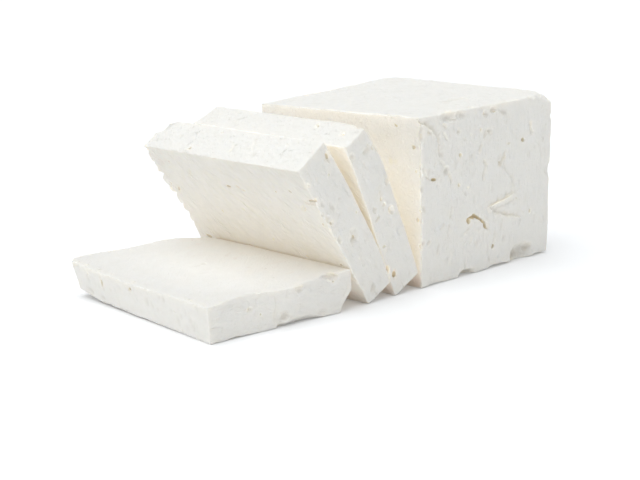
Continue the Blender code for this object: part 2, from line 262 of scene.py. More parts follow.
def add_mix(tree, share, first, second):
    """A colour between two, the nearer to the second the larger the share."""
    inputs = {0: share, 6: first, 7: second}
    return add_node(tree, "ShaderNodeMix", inputs, data_type="RGBA").outputs[2]


def add_cloud(tree, place, per_metre, detail, roughness=0.5, distortion=0.0):
    """The value of a cloud of so many lumps per metre."""
    return add_node(tree, "ShaderNodeTexNoise", {
        "Vector": place, "Scale": per_metre, "Detail": detail,
        "Roughness": roughness, "Distortion": distortion,
    }).outputs["Fac"]


def add_stretch(tree, place, stretch):
    """A place stretched along its three ways."""
    inputs = {0: place, 1: stretch}
    return add_node(tree, "ShaderNodeVectorMath", inputs, operation="MULTIPLY").outputs["Vector"]


def add_height(tree, cloud, height):
    """A cloud as a height around 0."""
    centred = add_math(tree, "SUBTRACT", cloud, 0.5)
    return add_math(tree, "MULTIPLY", centred, height)


# %% The grain of the curd: fine lumps and finer crumbs, around a height of 0
CURD_GRAIN, ins, height = new_group("curd_grain", {
    "Place": ORIGIN,
    "Per metre": 700.0,
    "Height": 0.2,
}, "Height")
lumps = add_cloud(CURD_GRAIN, ins["Place"], ins["Per metre"], detail=4.0, roughness=0.62)
CURD_GRAIN.links.new(add_height(CURD_GRAIN, lumps, ins["Height"]), height)

# %% Drag marks: a cloud stretched along the third way of its place, around a height of 0
DRAG_MARKS, ins, height = new_group("drag_marks", {
    "Place": ORIGIN,
    "Turn": ORIGIN,
    "Stretch": (1, 1, 0.15),
    "Per metre": 500.0,
    "Height": 0.2,
}, "Height")
turned = add_node(DRAG_MARKS, "ShaderNodeVectorRotate", {
    "Vector": ins["Place"], "Rotation": ins["Turn"],
}, rotation_type="EULER_XYZ")
stretched = add_stretch(DRAG_MARKS, turned.outputs["Vector"], ins["Stretch"])
strokes = add_cloud(DRAG_MARKS, stretched, ins["Per metre"], detail=3.0, roughness=0.6)
DRAG_MARKS.links.new(add_height(DRAG_MARKS, strokes, ins["Height"]), height)

# %% Small scars: hollows where a stretched cloud is densest, as a depth from 0 to 1
PATCHES_PER_METRE = 60.0
PATCH_SHARE = 0.35

SMALL_SCARS, ins, depth = new_group("small_scars", {
    "Place": ORIGIN,
    "Stretch": (1, 1, 0.4),
    "Per metre": 260.0,
    "Rarity": 0.6,
    "Softness": 0.12,
}, "Depth")
stretched = add_stretch(SMALL_SCARS, ins["Place"], ins["Stretch"])
cloud = add_cloud(
    SMALL_SCARS, stretched, ins["Per metre"], detail=2.0, roughness=0.55, distortion=0.5,
)
patches = add_cloud(SMALL_SCARS, ins["Place"], PATCHES_PER_METRE, detail=1.0)
dense = add_math(SMALL_SCARS, "ADD", cloud, add_height(SMALL_SCARS, patches, PATCH_SHARE))
high = add_math(SMALL_SCARS, "ADD", ins["Rarity"], ins["Softness"])
deep = add_node(SMALL_SCARS, "ShaderNodeMapRange", {
    "Value": dense, "From Min": ins["Rarity"], "From Max": high,
}, interpolation_type="SMOOTHSTEP")
SMALL_SCARS.links.new(deep.outputs["Result"], depth)

# %% Painted shade: small hollows are shaded, deep ones an ochre shade, and the feet of cut faces and the lines where pieces touch a brown shade
OCHRE_SHADE_POWER = 1.6

PAINTED_HOLLOW_SHADE, ins, colour = new_group("painted_hollow_shade", {
    "Colour": (0.9, 0.9, 0.85, 1),
    "Shade": (0.745, 0.71, 0.645, 1),
    "Ochre shade": (0.76, 0.67, 0.49, 1),
    "Brown shade": (0.84, 0.62, 0.46, 1),
    "Scar": 0.0,
    "Hollow": 0.0,
    "Foot": 0.0,
}, "Colour", COLOUR)
# The Scar input is the share of painted shade in scars, creases and dents; the ochre and the brown
# are painted shade too.
shaded = add_mix(PAINTED_HOLLOW_SHADE, ins["Scar"], ins["Colour"], ins["Shade"])
steep = add_math(PAINTED_HOLLOW_SHADE, "POWER", ins["Hollow"], OCHRE_SHADE_POWER)
deep = add_mix(PAINTED_HOLLOW_SHADE, steep, shaded, ins["Ochre shade"])
PAINTED_HOLLOW_SHADE.links.new(add_mix(PAINTED_HOLLOW_SHADE, ins["Foot"], deep, ins["Brown shade"]), colour)

# %% Light between the pieces: amber, and less, where they meet
# It grows fast with closeness, by half at HALF_GROWN, and then a little is lost again.
AMBER_POWER = 1.5
HALF_GROWN = 0.3
LOST_WHEN_CLOSE = 0.68
LOST_ON_TOUCH = 0.5
FULL_LIGHT = 2.3

LIGHT_BETWEEN, ins, colour = new_group("light_between", {
    "Closeness": 0.0,
    "Touch": 0.0,
    "Rim": 0.0,
    "Pale": (1.0, 0.95, 0.87, 1),
    "Amber": (1.0, 0.76, 0.40, 1),
}, "Colour", COLOUR)
meeting = add_math(LIGHT_BETWEEN, "POWER", ins["Closeness"], AMBER_POWER)
shade = add_mix(LIGHT_BETWEEN, meeting, ins["Pale"], ins["Amber"])
grown = add_math(LIGHT_BETWEEN, "ADD", ins["Closeness"], HALF_GROWN)
amount = add_math(LIGHT_BETWEEN, "DIVIDE", ins["Closeness"], grown)
for cause, loss in (("Closeness", LOST_WHEN_CLOSE), ("Touch", LOST_ON_TOUCH)):
    lost = add_math(LIGHT_BETWEEN, "MULTIPLY", ins[cause], loss)
    kept = add_math(LIGHT_BETWEEN, "SUBTRACT", 1.0, lost)
    amount = add_math(LIGHT_BETWEEN, "MULTIPLY", amount, kept)
amount = add_math(LIGHT_BETWEEN, "MULTIPLY", amount, FULL_LIGHT)
amount = add_math(LIGHT_BETWEEN, "ADD", amount, ins["Rim"])
light = add_node(LIGHT_BETWEEN, "ShaderNodeVectorMath", {0: shade, 3: amount}, operation="SCALE")
LIGHT_BETWEEN.links.new(light.outputs["Vector"], colour)

# %% [markdown]
# ## The finishes
# The brined skin is dragged along its height and scarred. The cut curd is a shade creamier,
# with finer grain and the slanting strokes of the knife. The block's cut face crumbled more
# than it was dragged, and the flat slice's was pressed smooth, so each of the two has a curd
# of its own. Light sinks a few millimetres into all of them before it comes out again, which
# is what makes cheese look like cheese and not like plaster, so they let it scatter inside.

# %% Make the finishes
# Shares of painted shade: in creases, and where two pieces touch.
CREASE_SHADE = 0.6
TOUCH_SHADE = 0.35
SHADES_PER_METRE = 55.0
Finish = namedtuple(
    "Finish",
    "name colour deep_colour grain drags scars scar_height scar_shade roughness glow",
)


def stored(tree, name, output="Fac"):
    """What is stored on the points of a piece under a name."""
    return add_node(tree, "ShaderNodeAttribute", {}, attribute_name=name).outputs[output]


def cheese_finish(finish):
    """A white cheese: two close tones, painted shade in hollows, creases and feet, fine relief and
    painted light inside.
    """
    material = bpy.data.materials.new(finish.name)
    material.use_nodes = True
    tree = material.node_tree
    shader = tree.nodes["Principled BSDF"]
    place = stored(tree, "loaf_place", "Vector")
    touch = stored(tree, "touch")

    clouds = add_cloud(tree, place, SHADES_PER_METRE, detail=5.0, roughness=0.6)
    shades = add_node(tree, "ShaderNodeMapRange", {
        "Value": clouds, "From Min": 0.35, "From Max": 0.65,
    })
    colour = add_mix(tree, shades.outputs["Result"], finish.deep_colour, finish.colour)
    scars = add_group(tree, SMALL_SCARS, {"Place": place} | finish.scars)
    # Painted shade: small scars, creases and dents are darkened towards the Shade colour, the feet
    # and the lines where pieces touch towards a brown shade, and deep pits towards an ochre one.
    shade = add_math(tree, "MULTIPLY", scars, finish.scar_shade)
    in_crease = add_math(tree, "MULTIPLY", stored(tree, "crease"), CREASE_SHADE)
    shade = add_math(tree, "MAXIMUM", shade, in_crease)
    touching = add_math(tree, "MULTIPLY", touch, TOUCH_SHADE)
    brown_shade = add_math(tree, "MAXIMUM", stored(tree, "foot"), touching)
    painted_colour = add_group(tree, PAINTED_HOLLOW_SHADE, {
        "Colour": colour, "Scar": shade, "Hollow": stored(tree, "hollow"), "Foot": brown_shade,
    })
    tree.links.new(painted_colour, shader.inputs["Base Color"])
    light = add_group(tree, LIGHT_BETWEEN, {
        "Closeness": stored(tree, "closeness"), "Touch": touch, "Rim": stored(tree, "rim"),
    })
    tree.links.new(light, shader.inputs["Emission Color"])

    grain = add_group(tree, CURD_GRAIN, {"Place": place} | finish.grain)
    drags = add_group(tree, DRAG_MARKS, {"Place": place} | finish.drags)
    cuts = add_math(tree, "MULTIPLY", scars, finish.scar_height)
    relief = add_math(tree, "SUBTRACT", add_math(tree, "ADD", grain, drags), cuts)
    bump = add_node(tree, "ShaderNodeBump", {"Distance": MM, "Height": relief})
    tree.links.new(bump.outputs["Normal"], shader.inputs["Normal"])

    shader.subsurface_method = "BURLEY"
    set_inputs(shader, {
        "Roughness": finish.roughness,
        "Specular IOR Level": 0.3,
        "Emission Strength": finish.glow,
        "Subsurface Weight": 0.6,
        "Subsurface Radius": (1.0, 0.8, 0.5),
        "Subsurface Scale": 3.0 * MM,
    })
    return material


SLANT = {"Turn": (math.radians(33), 0, 0)}
SKIN = Finish(
    name="brined_skin",
    colour=(0.967, 0.943, 0.889, 1),
    deep_colour=(0.952, 0.928, 0.869, 1),
    grain={"Per metre": 700.0, "Height": 0.55},
    drags={"Stretch": (1, 1, 0.3), "Per metre": 380.0, "Height": 1.1},
    scars={"Rarity": 0.65},
    scar_height=0.5,
    scar_shade=0.22,
    roughness=0.5,
    glow=0.19,
)
CURD = Finish(
    name="cut_curd",
    colour=(0.945, 0.921, 0.862, 1),
    deep_colour=(0.928, 0.902, 0.836, 1),
    grain={"Per metre": 900.0, "Height": 1.0},
    drags=SLANT | {"Stretch": (1, 1, 0.09), "Per metre": 600.0, "Height": 2.6},
    scars={"Rarity": 0.70},
    scar_height=0.4,
    scar_shade=0.25,
    roughness=0.6,
    glow=0.19,
)
BRINED_SKIN = cheese_finish(SKIN)
CUT_CURD = cheese_finish(CURD)
LAID_CURD = cheese_finish(CURD._replace(
    name="laid_curd",
    colour=(0.905, 0.885, 0.842, 1),
    deep_colour=(0.890, 0.868, 0.820, 1),
    drags=SLANT | {"Stretch": (1, 1, 0.3), "Per metre": 260.0, "Height": 0.8},
    glow=0.11,
))
CRUMBLED_CURD = cheese_finish(CURD._replace(
    name="crumbled_curd",
    grain={"Per metre": 900.0, "Height": 1.5},
    drags=SLANT | {"Stretch": (1, 1, 0.3), "Per metre": 600.0, "Height": 1.2},
))
CURDS = {"feta_block": CRUMBLED_CURD, "feta_slice_flat": LAID_CURD}
SKIN_SLOT, CURD_SLOT = 0, 1

# %% [markdown]
# ## From a plain solid to a fine one
# A solid from the frame is a few thousand loose triangles, far too coarse for a scar two
# millimetres long. So its copy is merged and then remeshed into even squares about a millimetre
# across. Remeshing leaves a faint stair on slanted faces, and two rounds of smoothing take that
# away. The near side, which carries the finest marks, is then divided once more.


# %% Copy a solid and remesh it
def fine_copy(piece, voxel):
    """The frame's solid as a new object of small even faces."""
    source = frame["nodes"][piece.node]
    fine = bpy.data.objects.new(piece.node + "_dressed", source.data.copy())
    bpy.context.scene.collection.objects.link(fine)
    fine.data.materials.clear()
    fine.data.materials.append(BRINED_SKIN)
    fine.data.materials.append(CURDS.get(piece.node, CUT_CURD))
    select_only(fine)
    bpy.ops.object.mode_set(mode="EDIT")
    bpy.ops.mesh.select_all(action="SELECT")
    bpy.ops.mesh.remove_doubles(threshold=0.001 * MM)
    bpy.ops.mesh.customdata_custom_splitnormals_clear()
    bpy.ops.object.mode_set(mode="OBJECT")
    fine.data.remesh_voxel_size = voxel
    fine.data.use_remesh_preserve_volume = True
    bpy.ops.object.voxel_remesh()
    apply_modifier(fine, "SMOOTH", factor=0.5, iterations=2)
    print(fine.name, "has", len(fine.data.polygons), "faces")
    return fine


# %% Divide one face further
ON_FACE = 0.7


def refine_face(fine, out_way):
    """Cuts each square that faces one way into four."""
    select_only(fine)
    bpy.ops.object.mode_set(mode="EDIT")
    bpy.ops.mesh.select_mode(type="FACE")
    bpy.ops.mesh.select_all(action="DESELECT")
    bpy.ops.object.mode_set(mode="OBJECT")
    for square in fine.data.polygons:
        square.select = square.normal.dot(out_way) > ON_FACE
    bpy.ops.object.mode_set(mode="EDIT")
    bpy.ops.mesh.subdivide(number_cuts=1)
    bpy.ops.object.mode_set(mode="OBJECT")


# %% [markdown]
# ## Where the skin is, and where the curd
# The skin and the cut faces have different reliefs, so each point is weighed by the way it
# faces: along the thickness it is cut curd, elsewhere it is skin. Points on the floor take no
# relief at all, so that each piece still rests flat.

# %% Weigh the points
FLOOR_REACH = 1.0 * MM
SKIN_ENDS, CURD_BEGINS = 0.6, 0.9


def smooth_rise(values):
    """0 below 0, 1 above 1, and a smooth rise between, for many values."""
    share = np.clip(values, 0, 1)
    return share * share * (3 - 2 * share)


def points_and_normals(mesh):
    """The places and the normals of a mesh's points, each as rows of three numbers."""
    both = []
    for name in ("co", "normal"):
        values = np.empty(len(mesh.vertices) * 3)
        mesh.vertices.foreach_get(name, values)
        both.append(values.reshape(-1, 3))
    return both


def weigh_points(fine, piece):
    """Vertex groups for the skin and for the cut curd, both empty on the floor."""
    points, normals = points_and_normals(fine.data)
    free = smooth_rise(points[:, 2] / FLOOR_REACH)
    facing = np.abs(normals @ np.array(piece.axes.col[piece.cut_axis]))
    cut = smooth_rise((facing - SKIN_ENDS) / (CURD_BEGINS - SKIN_ENDS))
    for name, weights in (("skin", free * (1 - cut)), ("curd", free * cut)):
        group = fine.vertex_groups.new(name=name)
        for index, weight in enumerate(weights.tolist()):
            group.add([index], weight, "REPLACE")


# %% [markdown]
# ## Relief from textures
# A Displace modifier moves points by a texture. Where the pattern has a direction, such as the
# strokes of a knife, the texture is read from an empty that is turned and stretched with the
# pattern, as if the cheese were pushed through a stretched cloud.


# %% Displace by a stretched cloud
def push_by_cloud(thing, placed, size, **settings):
    """Moves points in and out by a cloud, which is read from an empty placed this way."""
    cloud = bpy.data.textures.new("cloud", "CLOUDS")
    cloud.noise_basis = "IMPROVED_PERLIN"
    cloud.noise_depth = 2
    cloud.noise_scale = size
    bpy.ops.object.empty_add()
    guide = bpy.context.object
    guide.matrix_world = placed
    apply_modifier(
        thing, "DISPLACE", texture=cloud, texture_coords="OBJECT", texture_coords_object=guide,
        **settings,
    )
    bpy.data.objects.remove(guide)
    bpy.data.textures.remove(cloud)


def cloud_relief(fine, piece, group, grain, turn, height, rise, seed):
    """Moves the points of one group in and out by a cloud of the given grain, in mm.

    grain is the cloud's size along the piece's own axes, turn is its turn about the face's
    normal, in degrees, and rise is how much of the movement is outwards."""
    about = Matrix.Rotation(math.radians(turn), 3, "X")
    stretched = piece.axes @ about @ Matrix.Diagonal(Vector(grain) * MM)
    placed = Matrix.Translation(Vector((seed, seed, seed))) @ stretched.to_4x4()
    push_by_cloud(
        fine, placed, 1.0, vertex_group=group, strength=height * MM, mid_level=1.0 - rise,
    )


# %% [markdown]
# ## Soft dents and ledges
# Where the curd sank or a flake came away, the face is lower, with no sharp edge round it. A
# dent is pressed in: points within an oval, bent by a little noise, move inwards, most in its
# middle. A ledge is a dent with one steep side, as the edge of a flake has. A dent that runs
# over an edge takes the points of the next face along, and so bites a notch out of the edge.

# %% Say where a dent is
# x and y are places on a face, length and width are the dent's, depth is how far it goes in,
# all in mm. turn is the angle of its long axis from the face's x. ledge is 1 or -1 where the
# side to the left or to the right of its long axis is steep, and 0 where neither is.
Dent = namedtuple("Dent", "face x y length width depth turn ledge", defaults=(0, 0))

# A face's own x and y, as axes of the piece, and the side of the piece it is on
FACES = {
    "near": (0, 2, -1),
    "far": (0, 2, 1),
    "left": (1, 2, -1),
    "right": (1, 2, 1),
    "top": (0, 1, 1),
}
FACE_DEPTH = 7.0
FACING = 0.3
DENT_POWER, LEDGE_POWER = 0.9, 1.3
STEEP_SHARE = 0.16
DENT_BEND = 0.7
DENT_BEND_SIZE = 5.0
EDGE_REACH = 2.5
TINY = 1e-6


def face_normal(piece, face):
    """The outward normal of a face, as an axis of the piece."""
    across, up, side = FACES[face]
    return piece.axes.col[3 - across - up] * side


def press_dents(fine, piece, dents):
    """Moves the points of a face inwards under each dent."""
    mesh = fine.data
    points, normals = points_and_normals(mesh)
    axes = np.array(piece.axes)
    own = (points - np.array(piece.corner)) @ axes / MM
    bends = np.array([noise.noise_vector(Vector(point) / DENT_BEND_SIZE) for point in own])
    moves = np.zeros_like(own)
    for dent in dents:
        across, up, side = FACES[dent.face]
        through = 3 - across - up
        level = 0 if side < 0 else piece.size[through] / MM
        turn = math.radians(dent.turn)
        aside = own[:, across] - dent.x + bends[:, 0] * DENT_BEND
        above = own[:, up] - dent.y + bends[:, 1] * DENT_BEND
        along = (aside * math.cos(turn) + above * math.sin(turn)) / (dent.length / 2)
        beside = (above * math.cos(turn) - aside * math.sin(turn)) / (dent.width / 2)
        if dent.ledge:
            slope = beside * dent.ledge
            steep = smooth_rise((1 - slope) / STEEP_SHARE)
            steep *= np.clip((slope + 1) / 2, 0, 1) ** LEDGE_POWER
            share = smooth_rise(2 * (1 - np.abs(along))) * steep
        else:
            share = np.clip(1 - along ** 2 - beside ** 2, 0, 1) ** DENT_POWER
        depth = share * dent.depth
        inside = np.abs(own[:, through] - level)
        edge = depth * np.clip(1 - inside / np.maximum(depth * EDGE_REACH, TINY), 0, 1)
        face = np.where(inside < FACE_DEPTH, depth, 0)
        facing = normals @ np.array(face_normal(piece, dent.face)) > FACING
        moves[:, through] -= np.where(facing, face, edge) * side
    moves = moves * MM @ axes.T
    moves[:, 2] *= smooth_rise(points[:, 2] / FLOOR_REACH)
    points = points + moves
    mesh.vertices.foreach_set("co", points.ravel())
    mesh.update()
    print(fine.name, "has", len(dents), "dents")


# %% Write marks as rows, and chain them along a line
OVERLAP = 1.5


def marks(kind, **rows_of):
    """A dent or a scar for each row of numbers, from x on, on the face that is named."""
    return [kind(face, *row) for face, rows in rows_of.items() for row in rows]


def steps(points):
    """The middle, the length and the turn of each step along a line of points."""
    for (x0, y0), (x1, y1) in zip(points, points[1:]):
        turn = math.atan2(y1 - y0, x1 - x0)
        yield (x0 + x1) / 2, (y0 + y1) / 2, math.hypot(x1 - x0, y1 - y0) * OVERLAP, turn


def ledge_line(face, points, width, depth, ledge):
    """A ledge that follows a line of points; its steep side is on the line."""
    dents = []
    for x, y, length, turn in steps(points):
        x += math.sin(turn) * ledge * width / 2
        y -= math.cos(turn) * ledge * width / 2
        dents.append(Dent(face, x, y, length, width, depth, math.degrees(turn), ledge))
    return dents


# %% [markdown]
# ## Pits and cracks
# Where curds didn't knit at all there is a real hole. It is cut with a stone: a rough pebble
# that is sunk into the face. Stretched, tilted and sunk by different amounts, copies of the
# same few stones make round pits, long cracks and torn edges.

# %% Make the stones
STONE_KINDS = 5
STONE_STEP_X, STONE_STEP_Y = 7.3, 3.1


def make_stone(kind):
    """A pebble of radius 1, roughened its own way."""
    bpy.ops.mesh.primitive_ico_sphere_add(subdivisions=3, radius=1)
    stone = bpy.context.object
    stone.name = f"stone_{kind}"
    placed = Matrix.Translation((kind * STONE_STEP_X, kind * STONE_STEP_Y, 0))
    push_by_cloud(stone, placed, 0.85, strength=0.9)
    return stone


stones = [make_stone(kind) for kind in range(STONE_KINDS)]

# %% Say where a scar is
# x and y are places on a face, length and width are the scar's, depth is how far it goes in,
# all in mm. turn is the angle of its long axis from the face's x, and tilt tips it about that
# axis, so that one side is steep and the other runs out gently.
Scar = namedtuple("Scar", "face x y length width depth turn tilt", defaults=(0, 0))

REACH_OUT = 60 * MM


def sink_stone(place, long_way, out_way, sizes, tilt, stone, cutters):
    """Copies a stone to a place, stretched along its own three ways by sizes in mm."""
    side_way = out_way.cross(long_way)
    ways = Matrix((long_way, side_way, out_way)).transposed()
    tipped = Matrix.Rotation(math.radians(tilt), 3, "X")
    shape = ways @ tipped @ Matrix.Diagonal(Vector(sizes) * MM)
    cutter = bpy.data.objects.new("cutter", stone.data.copy())
    cutter.matrix_world = Matrix.Translation(place) @ shape.to_4x4()
    cutters.objects.link(cutter)


def cut_scar(scar, piece, tree, stone, cutters):
    """Sinks a stone where a scar is, at the first point of the surface on the way in."""
    across, up, side = FACES[scar.face]
    out_way = face_normal(piece, scar.face)
    x_way, y_way = piece.axes.col[across], piece.axes.col[up]
    centre = piece.corner + (x_way * scar.x + y_way * scar.y) * MM
    reach = REACH_OUT + (piece.size[3 - across - up] if side > 0 else 0)
    place = tree.ray_cast(centre + out_way * reach, -out_way)[0]
    if place is None:
        return
    turn = math.radians(scar.turn)
    long_way = x_way * math.cos(turn) + y_way * math.sin(turn)
    sizes = (scar.length / 2, scar.width / 2, scar.depth)
    sink_stone(place, long_way, out_way, sizes, scar.tilt, stone, cutters)


def crack(face, points, width, depth):
    """A crack along a line of points, as scars that overlap end to end."""
    return [
        Scar(face, x, y, length, width, depth, math.degrees(turn))
        for x, y, length, turn in steps(points)
    ]


# %% [markdown]
# ## Strewn dents and chipped edges
# Besides the marks that can be pointed at, a face has many small dents that lie anywhere, in
# loose groups, more upright than flat, and a few pits. And where two faces meet, crumbs have
# gone. All are drawn at random from a seed, so they come out the same every time.

# %% Strew marks over faces
GROUP_SIZE = 17
GROUP_EDGE = (-0.6, 0.35)
SIDE_MARGIN, END_MARGIN = 1, 4
DENT_SHORTER, DENT_NARROWER, DENT_WIDER = (0.5, 1), (0.3, 0.7), 0.8
DENT_TURN_SPREAD = 20
PIT_NARROWER = (0.4, 0.8)
PIT_TURN, PIT_TURN_SPREAD = 70, 35


def strewn_places(piece, face, count, draw):
    """Places on a face, in loose groups."""
    across, up, _ = FACES[face]
    wide, high = piece.size[across] / MM, piece.size[up] / MM
    places = []
    while len(places) < count:
        x = draw.uniform(SIDE_MARGIN, wide - SIDE_MARGIN)
        y = draw.uniform(END_MARGIN, high - END_MARGIN)
        here = Vector((x / GROUP_SIZE, y / GROUP_SIZE, len(face) + wide))
        if noise.noise(here) > draw.uniform(*GROUP_EDGE):
            places.append((x, y))
    return places


def strewn_dents(piece, counts, draw, steep=80, long=(2.5, 9), deep=(0.12, 0.5)):
    """Small soft dents and ledges, so many on each face, their long axes mostly steep."""
    dents = []
    for face, count in counts.items():
        for x, y in strewn_places(piece, face, count, draw):
            length = draw.uniform(*long) * draw.uniform(*DENT_SHORTER)
            width = length * draw.uniform(*DENT_NARROWER) + DENT_WIDER
            turn = draw.gauss(steep, DENT_TURN_SPREAD)
            ledge = draw.choice((-1, 0, 0, 1))
            dents.append(Dent(face, x, y, length, width, draw.uniform(*deep), turn, ledge))
    return dents


def strewn_pits(piece, counts, draw, long=(0.8, 2.0), deep=(0.3, 0.9)):
    """Small sharp pits, so many on each face."""
    pits = []
    for face, count in counts.items():
        for x, y in strewn_places(piece, face, count, draw):
            length = draw.uniform(*long)
            width = length * draw.uniform(*PIT_NARROWER)
            turn = draw.gauss(PIT_TURN, PIT_TURN_SPREAD)
            pits.append(Scar(face, x, y, length, width, min(draw.uniform(*deep), width), turn))
    return pits


# %% Chip an edge
EDGE_END = 4 * MM
CHIP_NARROWER, CHIP_SHALLOWER = (0.5, 0.9), (0.5, 1.0)
CHIP_TILTS = (-35, 35)


def chip_edge(piece, faces, count, size, bite, draw, tree, cutters):
    """Takes crumbs out of the edge where two faces meet."""
    first, second = (face_normal(piece, face) for face in faces)
    out_way = (first + second).normalized()
    along = first.cross(second).normalized()
    half = abs(along.dot(piece.axes @ piece.size)) / 2
    edge = piece.corner + piece.axes @ (piece.size / 2)
    for axis, way in enumerate(piece.axes.col):
        side = first.dot(way) + second.dot(way)
        edge = edge + way * side * piece.size[axis] / 2
    for _ in range(count):
        at = draw.uniform(-1, 1) * (half - EDGE_END)
        place = tree.ray_cast(edge + along * at + out_way * REACH_OUT, -out_way)[0]
        length = draw.uniform(*size)
        width = length * draw.uniform(*CHIP_NARROWER)
        depth = width * draw.uniform(*CHIP_SHALLOWER) * bite
        tilt = draw.uniform(*CHIP_TILTS)
        stone = stones[draw.randrange(STONE_KINDS)]
        if place is not None:
            sink_stone(place, along, out_way, (length, width, depth), tilt, stone, cutters)


# %% Cut with all the stones at once
def new_cutters(name):
    """A collection that holds the stones of one piece while they cut."""
    cutters = bpy.data.collections.new(name)
    bpy.context.scene.collection.children.link(cutters)
    return cutters


def cut_away(fine, cutters):
    """One Boolean for all the cutters, then loose crumbs are dropped."""
    apply_modifier(
        fine, "BOOLEAN", operation="DIFFERENCE", operand_type="COLLECTION", collection=cutters,
        solver="MANIFOLD",
    )
    for cutter in list(cutters.objects):
        bpy.data.objects.remove(cutter)
    bpy.data.collections.remove(cutters)
    select_only(fine)
    bpy.ops.mesh.separate(type="LOOSE")
    parts = sorted(bpy.context.selected_objects, key=lambda part: len(part.data.vertices))
    for crumb in parts:
        if crumb is not fine:
            if len(crumb.data.vertices) > len(fine.data.vertices):
                fine.data, crumb.data = crumb.data, fine.data
            bpy.data.objects.remove(crumb)


# %% [markdown]
# ## Store what the finishes read
# Each point stores its place in the loaf: through the slice, across and up. It stores how deep
# it lies in a pit, which is its distance from the surface of before the scars, and in a crease,
# which is how far it lies below the average of the points round it; the finishes paint shade
# into pits, creases and dents by these. Closeness is the share of the ways out of a point, drawn
# at random, that end on another piece, averaged with the points round it, and it sets the painted
# glow between pieces. Only cut faces have it, and it fades towards the floor, where little light
# comes through. What fades is kept for the painted brown shade of the feet, and so is where a
# point all but touches another piece. Near the top rim, painted light stands for light that fell
# on the top and comes out of the cut face, more so from a thick piece.


# %% Average over the points round each point
def around(values, edges, rounds):
    """The values after each has been averaged with its neighbours a number of times."""
    first, second = edges[:, 0], edges[:, 1]
    count = len(values)
    linked = np.bincount(first, minlength=count) + np.bincount(second, minlength=count) + 1
    for _ in range(rounds):
        total = values.copy()
        for axis in range(values.shape[1]):
            column = values[:, axis]
            total[:, axis] += np.bincount(first, column[second], count)
            total[:, axis] += np.bincount(second, column[first], count)
        values = total / linked[:, None]
    return values


# %% Measure how close another piece is
RAYS = 7
RAY_SPREAD = 0.98
RAY_START = 0.1 * MM
SIDEWAYS = 0.7
CLOSE_REACH = 80 * MM
CLOSE_ROUNDS = 8
LEAST_SHARE = 0.1


def search_tree(*meshes):
    """A search tree over the faces of one or more meshes."""
    points, faces = [], []
    for mesh in meshes:
        start = len(points)
        points += [vert.co for vert in mesh.vertices]
        faces += [[start + index for index in face.vertices] for face in mesh.polygons]
    return BVHTree.FromPolygons(points, faces)


def distances(points, tree):
    """How far each point is from the nearest place on a tree."""
    return np.array([tree.find_nearest(Vector(point))[3] for point in points])


def closeness_of(points, normals, edges, piece, tree, seed):
    """0 where a point sees no other piece, and towards 1 where it sees little else."""
    draw = np.random.default_rng(seed)
    ways = draw.normal(size=(len(points), RAYS, 3))
    ways /= np.linalg.norm(ways, axis=2)[:, :, None]
    ways = ways * RAY_SPREAD + normals[:, None, :]
    starts = points + normals * RAY_START
    close = np.zeros((len(points), 1))
    on_cut = np.abs(normals @ np.array(piece.axes.col[piece.cut_axis])) > SIDEWAYS
    for index in np.flatnonzero(on_cut):
        start = Vector(starts[index])
        for way in ways[index]:
            distance = tree.ray_cast(start, Vector(way), CLOSE_REACH)[3]
            if distance is not None:
                close[index] += (1 - distance / CLOSE_REACH) / RAYS
    on_cut = on_cut[:, None].astype(float)
    share = around(on_cut, edges, CLOSE_ROUNDS)
    close = around(close, edges, CLOSE_ROUNDS) / np.maximum(share, LEAST_SHARE)
    return np.clip(close, 0, 1) * around(on_cut, edges, 1)


# %% Store places, hollows, creases and finishes
PIT_DEPTH = 0.9 * MM
PIT_ROUNDS = 2
DENT_DEPTH = 3.6 * MM
DENT_SHADE_POWER = 1.5
CREASE_DEPTH = 0.3 * MM
CREASE_ROUNDS = 6
TOUCH_REACH = 1.0 * MM
# The feet of cut faces, up to FOOT_DARK, get a painted brown shade that grows with closeness.
FOOT_DARK = 12 * MM
FOOT_SHADE = 2.1
THICK = 60 * MM
RIM_REACH = 14 * MM
RIM_GROWTH = 4
CUT_SHARE = 0.72


